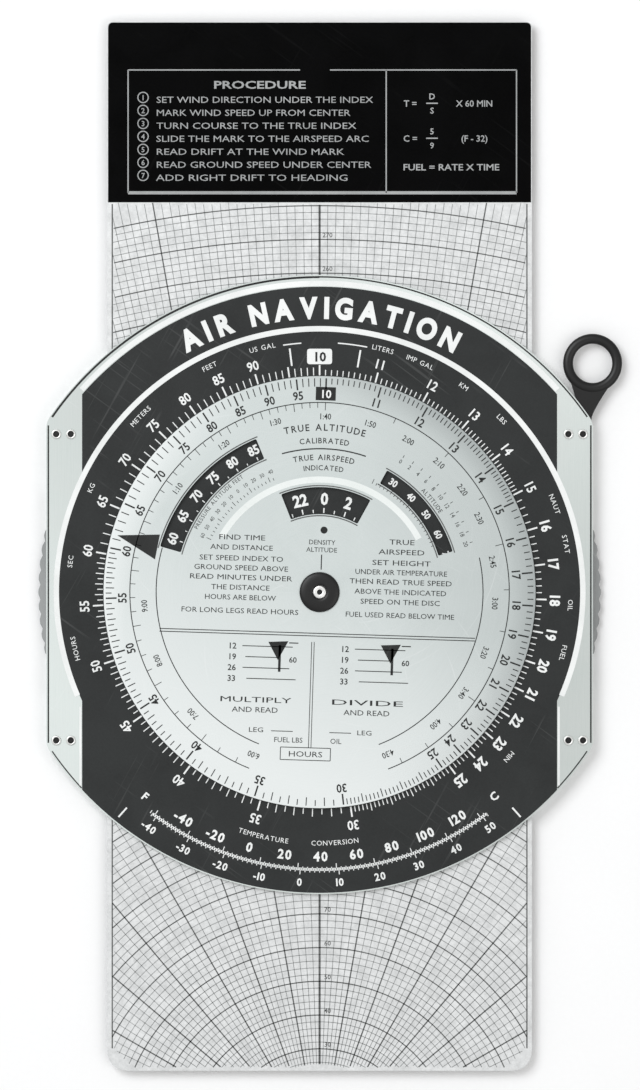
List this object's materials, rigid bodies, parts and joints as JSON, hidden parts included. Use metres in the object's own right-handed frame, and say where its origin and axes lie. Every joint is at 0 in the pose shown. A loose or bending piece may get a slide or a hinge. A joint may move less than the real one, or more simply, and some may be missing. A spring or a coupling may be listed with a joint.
{
  "type": "flight computer",
  "caption": "Flat riveted metal flight computer: turning slide rule disc on one side, compass ring with clear plotting disc on the other, long wind slide between, small lanyard ring.",
  "frame": {"origin": "middle of the underside of the whole outline, on the plane of the back plate's rear face", "axes": "+Z out of the slide rule face, +Y along the wind slide towards its black header, +X to the lanyard ring's side"},
  "size_m": [0.1402, 0.252, 0.0061],
  "materials": {
    "black_print": "satin grey-black screen print on aluminium sheet",
    "silver_sheet": "satin brushed sheet",
    "white_print": "satin pale print on aluminium sheet, slight green-grey cast",
    "black_oxide": "black oxide, worn at the edges",
    "bright_pin": "bright rivet",
    "spring_steel": "rolled strip",
    "frosted_clear": "matt clear sheet that takes pencil",
    "nylon": "matt"
  },
  "bodies": {
    "body": {"front_plate": "black_print", "back_plate": "silver_sheet", "left_rail": "silver_sheet", "right_rail": "silver_sheet", "upper_spacer": "silver_sheet", "lower_spacer": "silver_sheet", "left_spring": "spring_steel", "right_spring": "spring_steel", "disc_washer": "nylon", "disc_eyelet": "black_oxide", "pivot_pin": "bright_pin", "body_rivet_1": "bright_pin", "body_rivet_2": "bright_pin", "body_rivet_3": "bright_pin", "body_rivet_4": "bright_pin", "body_rivet_5": "bright_pin", "body_rivet_6": "bright_pin", "body_rivet_7": "bright_pin", "body_rivet_8": "bright_pin"},
    "slide": {"slide_card": "white_print"},
    "disc": {"computer_disc": "white_print"},
    "azimuth": {"azimuth_ring": "silver_sheet", "plotting_disc": "frosted_clear", "plotting_eyelet": "black_oxide", "band_rivet_1": "bright_pin", "band_rivet_2": "bright_pin", "band_rivet_3": "bright_pin", "band_rivet_4": "bright_pin", "band_rivet_5": "bright_pin", "band_rivet_6": "bright_pin"},
    "lanyard": {"lanyard_ring": "black_oxide"}
  },
  "joints": [
    {"name": "slide_travel", "type": "slide", "parent": "body", "child": "slide", "axis": [0, 1, 0], "range_m": [-0.105, 0.085]},
    {"name": "disc_turn", "type": "hinge", "parent": "body", "child": "disc", "pos_m": [-0.00255, -0.011, 0.005], "axis": [0, 0, 1], "continuous": true},
    {"name": "azimuth_turn", "type": "hinge", "parent": "body", "child": "azimuth", "pos_m": [-0.00255, -0.011, 0.0015], "axis": [0, 0, 1], "continuous": true},
    {"name": "lanyard_swing", "type": "hinge", "parent": "body", "child": "lanyard", "pos_m": [0.06065, 0.02691, 0.00265], "axis": [0, 0, 1], "range_deg": [-130, 4]}
  ]
}
